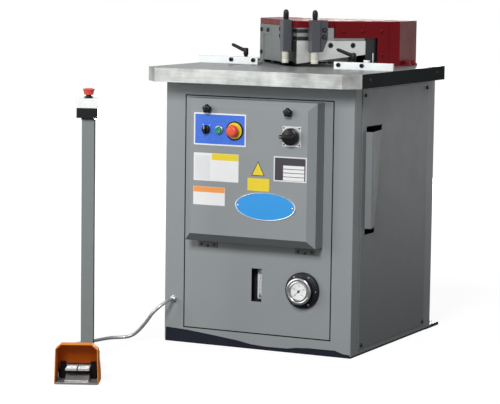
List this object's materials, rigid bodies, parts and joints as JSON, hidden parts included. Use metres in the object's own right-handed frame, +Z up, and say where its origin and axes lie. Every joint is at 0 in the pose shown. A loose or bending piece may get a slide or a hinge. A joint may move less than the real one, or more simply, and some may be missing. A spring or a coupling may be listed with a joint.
{
  "type": "notching press",
  "caption": "Corner notching press: raked blades on a hydraulic ram over a ground table, sliding fences, control door on a sheet cabinet, and a foot pedal station joined by a cable.",
  "frame": {"origin": "centre of the cabinet's base, on the floor", "axes": "+Z up, +X to the right of someone who stands at the controls, -Y towards that person"},
  "size_m": [0.9172, 1.5777, 1.0859],
  "materials": {
    "dark_paint": "matt dark blue-black paint",
    "grey_paint": "smooth semi-gloss grey paint",
    "side_paint": "smooth semi-gloss grey paint",
    "ground_steel": "ground steel with a soft mirror",
    "blade_steel": "ground tool steel",
    "red_paint": "semi-gloss dark red paint",
    "guard_paint": "semi-gloss grey paint",
    "dark_steel": "machined dark steel",
    "black_steel": "black paint",
    "beige_nylon": "matt nylon",
    "black_plastic": "moulded black plastic",
    "fence_steel": "polished steel",
    "lever_plastic": "moulded black plastic",
    "hinge_steel": "grey painted hinge",
    "blue_plate": "printed blue film with a white border",
    "switch_plate": "bare plate",
    "green_plastic": "moulded green plastic",
    "red_plastic": "moulded red plastic",
    "badge_blue": "blue enamel with a silver rim",
    "gauge_steel": "polished steel case",
    "needle_black": "matt black",
    "box_grey": "grey paint",
    "tank_paint": "grey paint",
    "level_glass": "clear plastic over a pale scale",
    "motor_paint": "dark paint",
    "zinc_sheet": "zinc coated sheet",
    "gland_metal": "plated metal",
    "station_steel": "grey painted plate",
    "orange_paint": "orange paint",
    "switch_body": "grey cast body",
    "treadle_metal": "bare aluminium",
    "post_paint": "grey paint",
    "white_plastic": "moulded white plastic",
    "cable_grey": "silver-grey sheath"
  },
  "bodies": {
    "machine": {"base_frame": "dark_paint", "cabinet_frame": "grey_paint", "front_cover": "grey_paint", "side_panel_right": "side_paint", "side_panel_left": "side_paint", "rear_panel": "side_paint", "table": "ground_steel", "lower_blade_right": "blade_steel", "lower_blade_left": "blade_steel", "head_housing": "red_paint", "cheek_plate_right": "red_paint", "guard_plate_left": "guard_paint", "hydraulic_cylinder": "dark_steel", "ram_guide_right": "black_steel", "ram_guide_left": "black_steel", "door_hinge_left": "hinge_steel", "door_hinge_right": "hinge_steel", "gauge_flange": "black_steel", "gauge_case": "gauge_steel", "electrical_box": "box_grey", "oil_tank": "tank_paint", "oil_level_glass": "level_glass", "pump_unit": "motor_paint", "scrap_chute": "zinc_sheet", "cable_gland_front": "gland_metal", "station_base": "station_steel", "pedal_guard": "orange_paint", "foot_switch": "switch_body", "station_post": "post_paint", "stop_box_base": "black_plastic", "stop_box_cover": "white_plastic", "foot_cable": "cable_grey"},
    "ram_group": {"ram": "dark_steel", "upper_blade_right": "blade_steel", "upper_blade_left": "blade_steel", "hold_down_block_right": "dark_steel", "hold_down_block_left": "dark_steel"},
    "pad_right": {"hold_down_pad_right": "beige_nylon"},
    "pad_left": {"hold_down_pad_left": "beige_nylon"},
    "adjuster_right": {"hold_down_adjuster_right": "black_plastic"},
    "adjuster_left": {"hold_down_adjuster_left": "black_plastic"},
    "fence_group_right": {"fence_right": "fence_steel", "fence_stud_right": "dark_steel"},
    "fence_group_left": {"fence_left": "fence_steel", "fence_stud_left": "dark_steel"},
    "lever_right": {"clamp_lever_right": "lever_plastic"},
    "lever_left": {"clamp_lever_left": "lever_plastic"},
    "door": {"door_shell": "grey_paint", "control_plate": "blue_plate", "main_switch_plate": "switch_plate", "oval_badge": "badge_blue"},
    "knob_right": {"door_knob_right": "black_plastic"},
    "knob_left": {"door_knob_left": "black_plastic"},
    "selector": {"selector_switch": "black_plastic"},
    "start": {"start_button": "green_plastic"},
    "emergency": {"emergency_button": "red_plastic"},
    "main_switch": {"main_switch_handle": "black_plastic"},
    "needle": {"gauge_needle": "needle_black"},
    "treadle": {"pedal_treadle": "treadle_metal"},
    "station_stop": {"station_stop_button": "red_plastic"}
  },
  "joints": [
    {"name": "ram_stroke", "type": "slide", "parent": "machine", "child": "ram_group", "axis": [0, 0, -1], "range_m": [0, 0.042]},
    {"name": "pad_right_slide", "type": "slide", "parent": "ram_group", "child": "pad_right", "axis": [0, 0, 1], "range_m": [0, 0.0345]},
    {"name": "pad_left_slide", "type": "slide", "parent": "ram_group", "child": "pad_left", "axis": [0, 0, 1], "range_m": [0, 0.0345]},
    {"name": "adjuster_right_turn", "type": "hinge", "parent": "ram_group", "child": "adjuster_right", "pos_m": [0.05268, -0.03548, 1.0529], "axis": [0, 0, 1], "continuous": true},
    {"name": "adjuster_left_turn", "type": "hinge", "parent": "ram_group", "child": "adjuster_left", "pos_m": [-0.05268, -0.03548, 1.0529], "axis": [0, 0, 1], "continuous": true},
    {"name": "fence_right_slide", "type": "slide", "parent": "machine", "child": "fence_group_right", "axis": [0, 1, 0], "range_m": [-0.06, 0.06]},
    {"name": "fence_left_slide", "type": "slide", "parent": "machine", "child": "fence_group_left", "axis": [0, 1, 0], "range_m": [-0.12, 0.03]},
    {"name": "lever_right_turn", "type": "hinge", "parent": "fence_group_right", "child": "lever_right", "pos_m": [0.226, -0.112, 0.9086], "axis": [0, 0, 1], "range_deg": [-90, 90]},
    {"name": "lever_left_turn", "type": "hinge", "parent": "fence_group_left", "child": "lever_left", "pos_m": [-0.21, -0.012, 0.9086], "axis": [0, 0, 1], "range_deg": [-90, 90]},
    {"name": "door_hinge", "type": "hinge", "parent": "machine", "child": "door", "pos_m": [0, -0.3437, 0.342], "axis": [1, 0, 0], "range_deg": [0, 90]},
    {"name": "knob_right_turn", "type": "hinge", "parent": "door", "child": "knob_right", "pos_m": [0.1415, -0.4133, 0.775], "axis": [0, 1, 0], "range_deg": [-180, 180]},
    {"name": "knob_left_turn", "type": "hinge", "parent": "door", "child": "knob_left", "pos_m": [-0.1415, -0.4133, 0.775], "axis": [0, 1, 0], "range_deg": [-180, 180]},
    {"name": "selector_turn", "type": "hinge", "parent": "door", "child": "selector", "pos_m": [-0.148, -0.4151, 0.7085], "axis": [0, 1, 0], "range_deg": [-45, 45]},
    {"name": "start_push", "type": "slide", "parent": "door", "child": "start", "axis": [0, 1, 0], "range_m": [0, 0.004], "stiffness_N_per_m": 400, "springref_m": -0.002},
    {"name": "emergency_push", "type": "slide", "parent": "door", "child": "emergency", "axis": [0, 1, 0], "range_m": [0, 0.005]},
    {"name": "main_switch_turn", "type": "hinge", "parent": "door", "child": "main_switch", "pos_m": [0.1515, -0.4151, 0.6995], "axis": [0, 1, 0], "range_deg": [0, 90]},
    {"name": "needle_turn", "type": "hinge", "parent": "machine", "child": "needle", "pos_m": [0.165, -0.372, 0.2057], "axis": [0, 1, 0], "range_deg": [0, 270]},
    {"name": "treadle_tilt", "type": "hinge", "parent": "machine", "child": "treadle", "pos_m": [-0.2355, -1.0539, 0.04], "axis": [0.9063, 0.4226, 0], "range_deg": [0, 12], "stiffness_Nm_per_rad": 2.5, "springref_deg": -6.88},
    {"name": "station_stop_push", "type": "slide", "parent": "machine", "child": "station_stop", "axis": [0, 0, -1], "range_m": [0, 0.005]}
  ],
  "couplings": [
    {"joint": "pad_right_slide", "follows": "ram_stroke", "ratio": 0.821},
    {"joint": "pad_left_slide", "follows": "ram_stroke", "ratio": 0.821}
  ]
}
